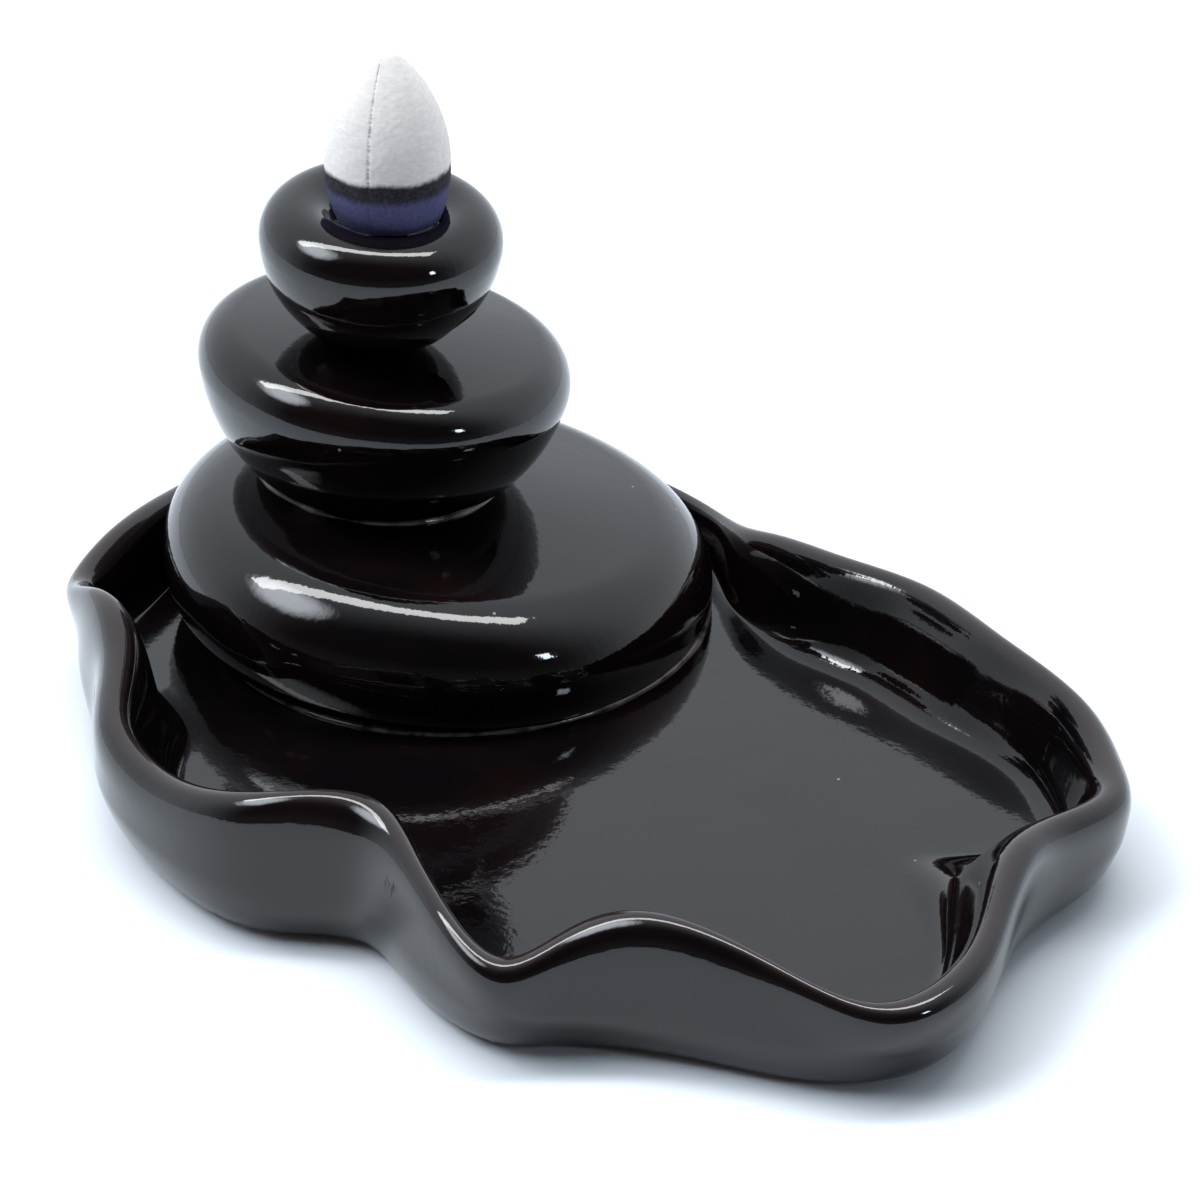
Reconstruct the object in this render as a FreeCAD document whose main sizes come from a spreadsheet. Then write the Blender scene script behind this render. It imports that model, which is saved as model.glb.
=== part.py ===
import FreeCAD, Part
import itertools
import math
import os

import Sketcher

# Incense burner of glazed ceramic: three stacked pebbles on a leaf-shaped dish,
# with a hollow-bottomed cone standing in the dished top pebble.
# Frame: +Z up, the table at Z = 0, +X along the dish from the pebbles to the open pool.
# Millimetres and degrees.

# Dish: a wavy leaf with a rolled lip. Length and width are between the crests of the lip.
LEAF_LENGTH = 131.3
LEAF_WIDTH = 86.3
FLOOR_HEIGHT = 4.5
LIP_WIDTH = 4.6
BELLY_HEIGHT = 5.0
FOOT_TUCK = 4.0

# Pebbles: girth is the largest radius, edge the rounding at the girth, dome and belly
# what the crown and the underside add to that rounding, foot the drop from the girth
# to the plane that the pebble stands on, and seat how deep it is let into the crown below.
# Lower pebble, with its gaps to the farthest reach of the leaf.
BACK_GAP = 1.8
SIDE_GAP = 2.4
LOWER_GIRTH = 30.8
LOWER_EDGE = 8.6
LOWER_DOME = 1.2
LOWER_BELLY = 2.9
LOWER_FOOT = 5.3
LOWER_WALL = 4.0

# Middle pebble, shifted along and across the way the stack leans.
MIDDLE_AHEAD = -8.2
MIDDLE_ASIDE = 3.3
MIDDLE_GIRTH = 20.6
MIDDLE_EDGE = 4.5
MIDDLE_DOME = 1.1
MIDDLE_BELLY = 12.8
MIDDLE_FOOT = 13.5
MIDDLE_WALL = 3.0
MIDDLE_SEAT = 1.6

# Top pebble, whose crown is a dish instead of a dome.
TOP_AHEAD = -2.2
TOP_ASIDE = -4.5
TOP_GIRTH = 13.15
TOP_EDGE = 4.3
TOP_DISH = 2.9
TOP_BELLY = 8.2
TOP_FOOT = 12.8
TOP_SEAT = 1.0

# Tilts: each pebble leans towards one bearing, and the top one also tips to its side.
LEAN_BEARING_ANGLE = 50.0
LOWER_LEAN_ANGLE = 7.0
MIDDLE_LEAN_ANGLE = 7.8
TOP_LEAN_ANGLE = 4.5
TOP_TIP_ANGLE = 5.0

# Luting beads squeezed out where the pebbles meet the dish and each other.
BEAD_WIDTH = 0.6
BEAD_HEIGHT = 0.6

# Flue with its outlet port, and the kiln vents.
FLUE_RADIUS = 2.1
PORT_RADIUS = 2.3
PORT_RISE = 3.2
PORT_BEARING_ANGLE = 25.0
VENT_RADIUS = 2.5

# Cone: the widest place is the belt at the top of the char band.
CONE_GAP = 0.15
CONE_RADIUS = 6.77
CONE_FOOT_RADIUS = 5.65
CONE_BASE_HEIGHT = 4.05
CONE_CHAR_HEIGHT = 1.9
CONE_OGIVE = 16.7
CONE_TIP = 2.4
CONE_BORE_RADIUS = 1.6
CONE_BORE_DEPTH = 9.0

SIZES = {
    "leaf_length": LEAF_LENGTH, "leaf_width": LEAF_WIDTH, "floor_height": FLOOR_HEIGHT,
    "lip_width": LIP_WIDTH, "belly_height": BELLY_HEIGHT, "foot_tuck": FOOT_TUCK,
    "back_gap": BACK_GAP, "side_gap": SIDE_GAP, "lower_girth": LOWER_GIRTH,
    "lower_edge": LOWER_EDGE, "lower_dome": LOWER_DOME, "lower_belly": LOWER_BELLY,
    "lower_foot": LOWER_FOOT, "lower_wall": LOWER_WALL, "middle_ahead": MIDDLE_AHEAD,
    "middle_aside": MIDDLE_ASIDE, "middle_girth": MIDDLE_GIRTH, "middle_edge": MIDDLE_EDGE,
    "middle_dome": MIDDLE_DOME, "middle_belly": MIDDLE_BELLY, "middle_foot": MIDDLE_FOOT,
    "middle_wall": MIDDLE_WALL, "middle_seat": MIDDLE_SEAT, "top_ahead": TOP_AHEAD,
    "top_aside": TOP_ASIDE, "top_girth": TOP_GIRTH, "top_edge": TOP_EDGE, "top_dish": TOP_DISH,
    "top_belly": TOP_BELLY, "top_foot": TOP_FOOT, "top_seat": TOP_SEAT,
    "lean_bearing_angle": LEAN_BEARING_ANGLE, "lower_lean_angle": LOWER_LEAN_ANGLE,
    "middle_lean_angle": MIDDLE_LEAN_ANGLE, "top_lean_angle": TOP_LEAN_ANGLE,
    "top_tip_angle": TOP_TIP_ANGLE, "bead_width": BEAD_WIDTH, "bead_height": BEAD_HEIGHT,
    "flue_radius": FLUE_RADIUS, "port_radius": PORT_RADIUS, "port_rise": PORT_RISE,
    "port_bearing_angle": PORT_BEARING_ANGLE, "vent_radius": VENT_RADIUS, "cone_gap": CONE_GAP,
    "cone_radius": CONE_RADIUS, "cone_foot_radius": CONE_FOOT_RADIUS,
    "cone_base_height": CONE_BASE_HEIGHT, "cone_char_height": CONE_CHAR_HEIGHT,
    "cone_ogive": CONE_OGIVE, "cone_tip": CONE_TIP, "cone_bore_radius": CONE_BORE_RADIUS,
    "cone_bore_depth": CONE_BORE_DEPTH,
}

# The wave of the leaf by stations around it. The first two numbers place the crest of the lip
# in plan, along the leaf from its back end and across it from its far side: 0 to 1 runs over
# the room of the lower pebble and 1 to 2 over the rest. Then come the height of the lip, how
# far the belly stands out below it, and how far the inner wall runs in to the floor.
LIP_STATIONS = (
    (1.979, 0.692, 12.2, -0.4, 7.4),
    (1.917, 0.583, 13.3, -0.2, 9.5),
    (1.856, 0.478, 14.2, 0.4, 14.0),
    (1.827, 0.390, 13.5, 0.7, 16.0),
    (1.823, 0.307, 12.9, 0.1, 12.0),
    (1.807, 0.226, 12.5, -0.1, 8.0),
    (1.726, 0.149, 12.6, 1.1, 7.5),
    (1.615, 0.089, 13.3, 1.4, 8.0),
    (1.408, 0.057, 14.3, 1.8, 9.0),
    (1.222, 0.042, 14.8, 1.6, 9.0),
    (1.057, 0.067, 14.3, 1.8, 8.0),
    (0.892, 0.081, 13.1, 1.2, 5.0),
    (0.817, 0.077, 11.9, 0.8, 3.4),
    (0.738, 0.049, 10.6, 0.1, 2.4),
    (0.622, 0.011, 9.0, -0.2, 2.2),
    (0.504, 0.000, 8.3, -0.3, 2.2),
    (0.330, 0.031, 8.2, -0.4, 2.2),
    (0.113, 0.184, 8.4, -0.6, 2.2),
    (0.005, 0.386, 9.0, -0.7, 2.2),
    (0.000, 0.612, 10.6, -0.7, 2.6),
    (0.055, 0.757, 12.0, -0.3, 3.2),
    (0.129, 0.935, 12.4, -0.2, 5.0),
    (0.233, 1.231, 12.0, -1.6, 6.0),
    (0.367, 1.357, 15.8, 2.0, 6.0),
    (0.528, 1.554, 15.6, 2.8, 7.0),
    (0.693, 1.904, 13.8, 1.0, 7.0),
    (0.885, 2.000, 13.2, 1.5, 7.0),
    (1.092, 1.848, 16.3, 2.8, 8.0),
    (1.205, 1.577, 16.6, 2.8, 8.0),
    (1.349, 1.649, 14.6, 2.6, 8.0),
    (1.445, 1.728, 13.4, 1.2, 7.5),
    (1.561, 1.705, 11.4, -0.3, 7.0),
    (1.599, 1.448, 13.2, 1.5, 8.5),
    (1.659, 1.222, 15.5, 2.4, 10.0),
    (1.738, 1.054, 15.1, 2.6, 10.0),
    (1.823, 0.973, 13.4, 2.2, 9.0),
    (1.953, 0.913, 11.3, -0.8, 7.2),
    (2.000, 0.811, 11.2, -0.8, 6.8),
)
# Half of the lip takes no more than this share of the run of the inner wall below it.
LIP_SHARE = 0.68
STATION_INDICES = range(len(LIP_STATIONS))
STATION_NAMES = ("lip_along", "lip_across", "lip_height", "belly_bulge", "wall_run")

doc = FreeCAD.newDocument("incense_burner")
sizes = doc.addObject("Spreadsheet::Sheet", "sizes")
size_rows = itertools.count(1)


def put_size(name, value):
    """Write one row of the sheet: a name beside the aliased cell that holds its value."""
    row = next(size_rows)
    sizes.set(f"A{row}", name)
    sizes.set(f"B{row}", str(value))
    sizes.setAlias(f"B{row}", name)


for size_name, size_value in SIZES.items():
    put_size(size_name, size_value)
put_size("lower_east", "=lower_girth + back_gap - leaf_length / 2")
put_size("lower_north", "=leaf_width / 2 - lower_girth - side_gap")
for station_index in STATION_INDICES:
    for size_name, size_value in zip(STATION_NAMES, LIP_STATIONS[station_index]):
        put_size(f"{size_name}_{station_index}", size_value)
doc.recompute()


def size(name):
    """Value of one size on the sheet."""
    return float(sizes.get(name))


def origin_plane(body, role):
    """One of a body's own origin planes."""
    for feature in body.Origin.OriginFeatures:
        if feature.Role == role:
            return feature
    raise ValueError(role)


def profile_sketch(body, name):
    """A sketch on the body's upright plane: across is X, up is Z."""
    sketch = body.newObject("Sketcher::SketchObject", name)
    sketch.AttachmentSupport = [(origin_plane(body, "XZ_Plane"), "")]
    sketch.MapMode = "FlatFace"
    return sketch


def worth(item, expression):
    """Number that an expression of the sizes has now."""
    value = item.evalExpression(expression)
    return float(getattr(value, "Value", value))


def bind(sketch, kind, *arguments, to, name):
    """Add a dimension to a sketch and tie it to an expression of the sizes."""
    constraint = Sketcher.Constraint(kind, *arguments, worth(sketch, to))
    index = sketch.addConstraint(constraint)
    sketch.renameConstraint(index, name)
    sketch.setExpression(f"Constraints.{name}", to)


def revolve(body, sketch, name):
    """Turn a closed half profile about the upright axis of its sketch."""
    turn = body.newObject("PartDesign::Revolution", name)
    turn.Profile = sketch
    turn.ReferenceAxis = (sketch, ["V_Axis"])
    turn.Angle = 360
    body.Tip = turn


def arc(centre_x, centre_y, radius, start, end):
    """Arc of a circle in a sketch, anticlockwise from start to end in radians."""
    circle = Part.Circle(FreeCAD.Vector(centre_x, centre_y, 0), FreeCAD.Vector(0, 0, 1), radius)
    return Part.ArcOfCircle(circle, start, end)


X_AXIS_INDEX = -1
Y_AXIS_INDEX = -2
START_INDEX = 1
END_INDEX = 2
CENTRE_INDEX = 3


def pebble(name, prefix, grow="0", dished=False):
    """Pebble about its girth: a flat cap arc, a round edge and a deeper underside arc.

    grow is an expression added to every radius, so that the same pebble offset inwards
    makes its hollow and offset outwards makes the bead around its foot. A dished pebble
    has a cap that bends down into it from the round edge.
    """
    body = doc.addObject("PartDesign::Body", name)
    sketch = profile_sketch(body, name + "_profile")
    cap_rise = f"(-sizes.{prefix}_dish)" if dished else f"sizes.{prefix}_dome"
    cap_inner, cap_outer = (START_INDEX, END_INDEX) if dished else (END_INDEX, START_INDEX)
    edge = worth(sketch, f"sizes.{prefix}_edge + {grow}")
    dome = worth(sketch, cap_rise)
    belly = size(prefix + "_belly")
    across = size(prefix + "_girth") - size(prefix + "_edge")
    cap_drop = (across ** 2 - dome ** 2) / (2 * dome)
    keel_lift = (across ** 2 - belly ** 2) / (2 * belly)
    keel_turn = math.atan2(keel_lift, across)
    upright = math.pi / 2
    if dished:
        cap_turn = math.pi - math.atan2(-cap_drop, across)
        cap_arc = arc(0, -cap_drop, -cap_drop - edge - dome, -upright, cap_turn - math.pi)
    else:
        cap_turn = math.atan2(cap_drop, across)
        cap_arc = arc(0, -cap_drop, cap_drop + edge + dome, cap_turn, upright)
    cap = sketch.addGeometry(cap_arc)
    side = sketch.addGeometry(arc(across, 0, edge, -keel_turn, cap_turn))
    keel = sketch.addGeometry(arc(0, keel_lift, edge + belly + keel_lift, -upright, -keel_turn))
    axis = sketch.addGeometry(Part.LineSegment(FreeCAD.Vector(0, edge + dome, 0),
                                               FreeCAD.Vector(0, -edge - belly, 0)))
    sketch.addConstraint(Sketcher.Constraint("Tangent", cap, cap_outer, side, END_INDEX))
    sketch.addConstraint(Sketcher.Constraint("Tangent", side, START_INDEX, keel, END_INDEX))
    sketch.addConstraint(Sketcher.Constraint("Coincident", cap, cap_inner, axis, START_INDEX))
    sketch.addConstraint(Sketcher.Constraint("Coincident", keel, START_INDEX, axis, END_INDEX))
    for point in ((cap, CENTRE_INDEX), (keel, CENTRE_INDEX), (axis, START_INDEX), (axis, END_INDEX)):
        sketch.addConstraint(Sketcher.Constraint("PointOnObject", *point, Y_AXIS_INDEX))
    sketch.addConstraint(Sketcher.Constraint("PointOnObject", side, CENTRE_INDEX, X_AXIS_INDEX))
    bind(sketch, "Radius", side, to=f"sizes.{prefix}_edge + {grow}", name="edge")
    bind(sketch, "DistanceX", X_AXIS_INDEX, START_INDEX, side, CENTRE_INDEX,
         to=f"sizes.{prefix}_girth - sizes.{prefix}_edge", name="across")
    bind(sketch, "DistanceY", X_AXIS_INDEX, START_INDEX, axis, START_INDEX,
         to=f"sizes.{prefix}_edge + {cap_rise} + {grow}", name="crown")
    bind(sketch, "DistanceY", axis, END_INDEX, X_AXIS_INDEX, START_INDEX,
         to=f"sizes.{prefix}_edge + sizes.{prefix}_belly + {grow}", name="keel")
    revolve(body, sketch, name + "_turn")
    return body


def put(piece, placement):
    """Tie a piece's place to an expression."""
    piece.setExpression("Placement", placement)
    return piece


def cut(name, base, tool):
    """Base less tool."""
    result = doc.addObject("Part::Cut", name)
    result.Base = base
    result.Tool = tool
    return result


def common(name, base, tool):
    """What base and tool share."""
    result = doc.addObject("Part::Common", name)
    result.Base = base
    result.Tool = tool
    return result


def slab(name, bottom, thickness, frame):
    """Wide block between two level planes of a frame, for trimming."""
    block = doc.addObject("Part::Box", name)
    span = "4 * sizes.lower_girth"
    block.setExpression("Length", span)
    block.setExpression("Width", span)
    block.setExpression("Height", thickness)
    middle = "-2 * sizes.lower_girth"
    put(block, f"{frame} * placement(vector({middle}; {middle}; {bottom}); {UNTURNED})")
    return block


def rod(name, radius, length, placement):
    """Round cutter along the upright axis of its placement."""
    cylinder = doc.addObject("Part::Cylinder", name)
    cylinder.setExpression("Radius", radius)
    cylinder.setExpression("Height", length)
    return put(cylinder, placement)


UNTURNED = "rotation(vector(0; 0; 1); 0)"
LEVEL = f"placement(vector(sizes.lower_east; sizes.lower_north; 0); {UNTURNED})"


def leaning(position, lean):
    """Placement at a position, tilted towards the lean bearing."""
    axle = "vector(-sin(sizes.lean_bearing_angle); cos(sizes.lean_bearing_angle); 0)"
    return f"placement({position}; rotation({axle}; {lean}))"


def on_crown(below, prefix):
    """Place of a pebble in the frame of the one below, by its shifts and its sunken foot."""
    east = (f"sizes.{prefix}_ahead * cos(sizes.lean_bearing_angle)"
            f" - sizes.{prefix}_aside * sin(sizes.lean_bearing_angle)")
    north = (f"sizes.{prefix}_ahead * sin(sizes.lean_bearing_angle)"
             f" + sizes.{prefix}_aside * cos(sizes.lean_bearing_angle)")
    rise = (f"sizes.{below}_edge + sizes.{below}_dome"
            f" - sizes.{prefix}_seat + sizes.{prefix}_foot")
    extra = f"sizes.{prefix}_lean_angle - sizes.{below}_lean_angle"
    return leaning(f"vector({east}; {north}; {rise})", extra)


TIPPED = ("placement(vector(0; 0; 0);"
          " rotation(vector(cos(sizes.lean_bearing_angle); sin(sizes.lean_bearing_angle); 0);"
          " sizes.top_tip_angle))")
LOWER_PLACE = leaning("vector(sizes.lower_east; sizes.lower_north;"
                      " sizes.floor_height + sizes.lower_foot)", "sizes.lower_lean_angle")


def stand(prefix, place, sole_frame, sole_height, dished=False):
    """Pebble set in place and cut off flat by the plane that it stands on."""
    whole = put(pebble(prefix + "_pebble", prefix, dished=dished), place)
    below = slab(prefix + "_sole", f"{sole_height} - 4 * sizes.lower_girth",
                 "4 * sizes.lower_girth", sole_frame)
    return whole, cut(prefix + "_form", whole, below)


lower_pebble, lower_form = stand("lower", LOWER_PLACE, LEVEL, "sizes.floor_height")
middle_pebble, middle_form = stand(
    "middle", "lower_pebble.Placement * " + on_crown("lower", "middle"),
    "lower_pebble.Placement", "(sizes.lower_edge + sizes.lower_dome - sizes.middle_seat)")
top_pebble, top_form = stand(
    "top", f"middle_pebble.Placement * {on_crown('middle', 'top')} * {TIPPED}",
    "middle_pebble.Placement", "(sizes.middle_edge + sizes.middle_dome - sizes.top_seat)",
    dished=True)


def hollow(prefix):
    """Space inside a cast pebble, one wall in from its outside."""
    inside = pebble(prefix + "_hollow", prefix, f"(-sizes.{prefix}_wall)")
    return put(inside, f"{prefix}_pebble.Placement")


# Lower pebble: cast shell, open at the foot, with a seat and a kiln vent in its crown.
vent = rod("crown_vent", "sizes.vent_radius", "2 * sizes.lower_girth", "middle_pebble.Placement"
           f" * placement(vector(0; 0; -2 * sizes.lower_girth); {UNTURNED})")
lower_shell = cut("lower_shell", lower_form, hollow("lower"))
lower_seated = cut("lower_seated", lower_shell, middle_form)
lower_stone = cut("lower_stone", lower_seated, vent)

# Middle pebble: the same, its crown closed under the outlet.
middle_shell = cut("middle_shell", middle_form, hollow("middle"))
middle_stone = cut("middle_stone", middle_shell, top_form)

# Top pebble: a flue from the bottom of its dish that turns out at the neck.
ACROSS = "(sizes.top_girth - sizes.top_edge)"
BOWL_RISE = f"(({ACROSS} ^ 2 - sizes.top_dish ^ 2) / (2 * sizes.top_dish))"
BOWL_RADIUS = f"({BOWL_RISE} + sizes.top_dish - sizes.top_edge)"
bowl_centre = put(doc.addObject("Part::Vertex", "bowl_centre"),
                  f"top_pebble.Placement * placement(vector(0; 0; {BOWL_RISE}); {UNTURNED})")
CONE_EAST = "(bowl_centre.Placement.Base.x / 1 mm)"
CONE_NORTH = "(bowl_centre.Placement.Base.y / 1 mm)"
BOWL_LEVEL = "(bowl_centre.Placement.Base.z / 1 mm)"
PORT_HEIGHT = ("(top_pebble.Placement.Base.z / 1 mm - sizes.top_foot + sizes.top_seat"
               " + sizes.port_rise)")
flue = rod("flue", "sizes.flue_radius", f"{BOWL_LEVEL} - {PORT_HEIGHT}",
           f"placement(vector({CONE_EAST}; {CONE_NORTH}; {PORT_HEIGHT}); {UNTURNED})")
port = rod("port", "sizes.port_radius", "2 * sizes.top_girth",
           f"placement(vector({CONE_EAST}; {CONE_NORTH}; {PORT_HEIGHT});"
           " rotation(vector(0; 0; 1); sizes.port_bearing_angle))"
           " * placement(vector(0; 0; 0); rotation(vector(0; 1; 0); 90))")
top_bored = cut("top_bored", top_form, flue)
top_stone = cut("top_stone", top_bored, port)


def swell(name, prefix, grow, dished=False):
    """Pebble grown outwards on all sides, in its own place."""
    return put(pebble(name, prefix, grow, dished), f"{prefix}_pebble.Placement")


def neck_bead(name, prefix, below, dished=False):
    """Ring of slip in the corner between a pebble's foot and the crown below it."""
    upright = swell(name + "_upright", prefix, "sizes.bead_width", dished)
    flat = swell(name + "_flat", below, "sizes.bead_height")
    corner = common(name + "_corner", upright, flat)
    ring = cut(name + "_ring", corner, doc.getObject(prefix + "_pebble"))
    return cut(name, ring, doc.getObject(below + "_pebble"))


foot_swell = swell("foot_swell", "lower", "sizes.bead_width")
foot_band = slab("foot_band", "sizes.floor_height", "sizes.bead_height", LEVEL)
base_seam = cut("base_seam", common("foot_layer", foot_swell, foot_band), lower_pebble)
lower_neck_seam = neck_bead("lower_neck_seam", "middle", "lower")
upper_neck_seam = neck_bead("upper_neck_seam", "top", "middle", dished=True)


def cone_form():
    """Bullet: a swelling base, an ogive from its belt and a round tip, about the cone's foot."""
    body = doc.addObject("PartDesign::Body", "cone_form")
    sketch = profile_sketch(body, "cone_profile")
    belt = size("cone_base_height") + size("cone_char_height")
    radius = size("cone_radius")
    swell = radius - size("cone_foot_radius")
    base_bend = (swell ** 2 + belt ** 2) / (2 * swell)
    ogive = size("cone_ogive")
    tip = size("cone_tip")
    tip_rise = math.sqrt((ogive - tip) ** 2 - (ogive - radius) ** 2)
    turn = math.atan2(tip_rise, ogive - radius)
    base_turn = math.asin(belt / base_bend)
    foot = size("cone_foot_radius")
    peak = belt + tip_rise + tip
    base_arc = sketch.addGeometry(arc(radius - base_bend, belt, base_bend, -base_turn, 0))
    ogive_arc = sketch.addGeometry(arc(radius - ogive, belt, ogive, 0, turn))
    tip_arc = sketch.addGeometry(arc(0, belt + tip_rise, tip, turn, math.pi / 2))
    axis = sketch.addGeometry(Part.LineSegment(FreeCAD.Vector(0, peak, 0), FreeCAD.Vector(0, 0, 0)))
    sole = sketch.addGeometry(Part.LineSegment(FreeCAD.Vector(0, 0, 0), FreeCAD.Vector(foot, 0, 0)))
    sketch.addConstraint(Sketcher.Constraint("Tangent", base_arc, END_INDEX, ogive_arc, START_INDEX))
    sketch.addConstraint(Sketcher.Constraint("Tangent", ogive_arc, END_INDEX, tip_arc, START_INDEX))
    sketch.addConstraint(Sketcher.Constraint("Coincident", tip_arc, END_INDEX, axis, START_INDEX))
    sketch.addConstraint(Sketcher.Constraint("Coincident", axis, END_INDEX, X_AXIS_INDEX, START_INDEX))
    sketch.addConstraint(Sketcher.Constraint("Coincident", sole, START_INDEX, X_AXIS_INDEX, START_INDEX))
    sketch.addConstraint(Sketcher.Constraint("Coincident", sole, END_INDEX, base_arc, START_INDEX))
    sketch.addConstraint(Sketcher.Constraint("PointOnObject", axis, START_INDEX, Y_AXIS_INDEX))
    sketch.addConstraint(Sketcher.Constraint("PointOnObject", tip_arc, CENTRE_INDEX, Y_AXIS_INDEX))
    sketch.addConstraint(Sketcher.Constraint("PointOnObject", sole, END_INDEX, X_AXIS_INDEX))
    bind(sketch, "DistanceX", X_AXIS_INDEX, START_INDEX, sole, END_INDEX,
         to="sizes.cone_foot_radius", name="foot")
    bind(sketch, "DistanceX", X_AXIS_INDEX, START_INDEX, ogive_arc, START_INDEX,
         to="sizes.cone_radius", name="waist")
    bind(sketch, "DistanceY", X_AXIS_INDEX, START_INDEX, ogive_arc, START_INDEX,
         to="sizes.cone_base_height + sizes.cone_char_height", name="belt")
    bind(sketch, "DistanceY", X_AXIS_INDEX, START_INDEX, ogive_arc, CENTRE_INDEX,
         to="sizes.cone_base_height + sizes.cone_char_height", name="belt_level")
    bind(sketch, "Radius", ogive_arc, to="sizes.cone_ogive", name="ogive")
    bind(sketch, "Radius", tip_arc, to="sizes.cone_tip", name="tip")
    revolve(body, sketch, "cone_turn")
    return body


# Cone, upright in the dish: ash over a char band over the unburnt base, bored from below.
REST = f"({BOWL_LEVEL} - sqrt({BOWL_RADIUS} ^ 2 - sizes.cone_foot_radius ^ 2) + sizes.cone_gap)"
whole_cone = put(cone_form(), f"placement(vector({CONE_EAST}; {CONE_NORTH}; {REST}); {UNTURNED})")
bore = rod("cone_bore", "sizes.cone_bore_radius", "sizes.cone_bore_depth", "cone_form.Placement")
bored_cone = cut("bored_cone", whole_cone, bore)
BELT = "(sizes.cone_base_height + sizes.cone_char_height)"
CONE_LAYERS = (
    ("cone_base", "0", "sizes.cone_base_height"),
    ("cone_char", "sizes.cone_base_height", "sizes.cone_char_height"),
    ("cone_ash", BELT, "4 * sizes.cone_ogive"),
)
cone_pieces = []
for layer_name, bottom, thickness in CONE_LAYERS:
    layer = slab(layer_name + "_layer", bottom, thickness, "cone_form.Placement")
    cone_pieces.append(common(layer_name, bored_cone, layer))


def spread(name, room, whole):
    """Place of every station, along or across the leaf, from its share of the room and the rest."""
    places = []
    for index in STATION_INDICES:
        share = size(f"{name}_{index}")
        places.append(min(share, 1) * room + max(share - 1, 0) * (whole - room))
    return places


def lip_plan():
    """Crest of the lip in plan, as two lists of coordinates about the middle of the leaf."""
    length = size("leaf_length")
    width = size("leaf_width")
    pebble_width = 2 * size("lower_girth")
    along = spread("lip_along", pebble_width + size("back_gap"), length)
    across = spread("lip_across", pebble_width + size("side_gap"), width)
    return [place - length / 2 for place in along], [width / 2 - place for place in across]


def lip_bearings(easts, norths):
    """Bearings of the stations from the middle of the leaf, always rising, and the first again."""
    bearings = [math.degrees(math.atan2(norths[0], easts[0]))]
    for east, north in zip(easts[1:] + easts[:1], norths[1:] + norths[:1]):
        turn = math.degrees(math.atan2(north, east)) - bearings[-1]
        bearings.append(bearings[-1] + turn % 360)
    return bearings


def wall_section(index):
    """Control points of the wall at a station, from the foot up over the lip and in to the floor.

    Each is a step outwards from the crest of the lip and a height. The lip is as wide as it is
    drawn, or as the run of the inner wall lets it be.
    """
    floor = size("floor_height")
    tuck = size("foot_tuck")
    belly = size("belly_height")
    crest = size(f"lip_height_{index}")
    bulge = size(f"belly_bulge_{index}")
    run = size(f"wall_run_{index}")
    half = min(size("lip_width") / 2, run * LIP_SHARE)
    reach = bulge + half / 2
    return (
        (bulge - tuck, 0),
        (bulge - tuck / 4, 0),
        (reach, belly),
        ((3 * reach + half) / 4, (belly + crest) / 2 - half),
        ((reach + half) / 2, crest - 2 * half),
        (half, crest - half / 3),
        (0, crest + half / 3),
        (-half, crest - half / 3),
        (-half - (run - half) / 4, crest - 2 * half),
        (-half - (run - half) / 2, floor),
        (-run, floor),
    )


def skin_curves():
    """Control loops of the skin: closed cubics around the leaf, one per wall control point."""
    easts, norths = lip_plan()
    bearings = lip_bearings(easts, norths)
    curves = []
    for row in zip(*(wall_section(index) for index in STATION_INDICES)):
        points = []
        for east, north, (step, height) in zip(easts, norths, row):
            grow = 1 + step / math.hypot(east, north)
            points.append(FreeCAD.Vector(east * grow, north * grow, height))
        curve = Part.BSplineCurve()
        curve.interpolate(Points=points, PeriodicFlag=True, Parameters=bearings)
        curves.append(curve)
    return curves


SKIN_DEGREE = 3


def leaf_shape():
    """Solid dish: one smooth skin over the control loops, closed by the flat foot and floor."""
    curves = skin_curves()
    around = curves[0]
    spans = len(curves) - SKIN_DEGREE
    ends = [SKIN_DEGREE + 1]
    skin = Part.BSplineSurface()
    skin.buildFromPolesMultsKnots(
        [list(poles) for poles in zip(*(curve.getPoles() for curve in curves))],
        around.getMultiplicities(), ends + [1] * (spans - 1) + ends,
        around.getKnots(), list(range(spans + 1)),
        True, False, SKIN_DEGREE, SKIN_DEGREE)
    side = skin.toShape()
    foot = Part.Face(Part.Wire([curves[0].toShape()]))
    floor = Part.Face(Part.Wire([curves[-1].toShape()]))
    shell = Part.makeShell([side, foot, floor])
    shell.sewShape()
    solid = Part.makeSolid(shell)
    if solid.Volume < 0:
        solid.reverse()
    return solid


leaf = doc.addObject("Part::Feature", "leaf")
leaf.Shape = leaf_shape()
leaf.Placement = FreeCAD.Placement()
floor_vent = rod("floor_vent", "sizes.vent_radius", "3 * sizes.floor_height",
                 f"{LEVEL} * placement(vector(0; 0; -sizes.floor_height); {UNTURNED})")
dish = cut("dish", leaf, floor_vent)

PIECES = [dish, lower_stone, middle_stone, top_stone, base_seam, lower_neck_seam, upper_neck_seam]
PIECES += cone_pieces
NODE_NAMES = ("dish", "lower_stone", "middle_stone", "top_stone", "base_seam", "lower_neck_seam",
              "upper_neck_seam", "cone_base", "cone_char", "cone_ash")
for piece, node in zip(PIECES, NODE_NAMES):
    piece.Label = node
doc.recompute()

for item in doc.Objects:
    if "Invalid" in item.State or "Error" in item.State:
        raise RuntimeError(f"{item.Name}: {item.State}")
for piece in PIECES:
    if piece.Shape.isNull() or not piece.Shape.isValid() or not piece.Shape.Solids:
        raise RuntimeError(f"{piece.Label}: bad shape")

os.makedirs("parts", exist_ok=True)
for piece in PIECES:
    piece.Shape.exportStep(f"parts/{piece.Label}.step")
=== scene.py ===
import math

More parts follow.
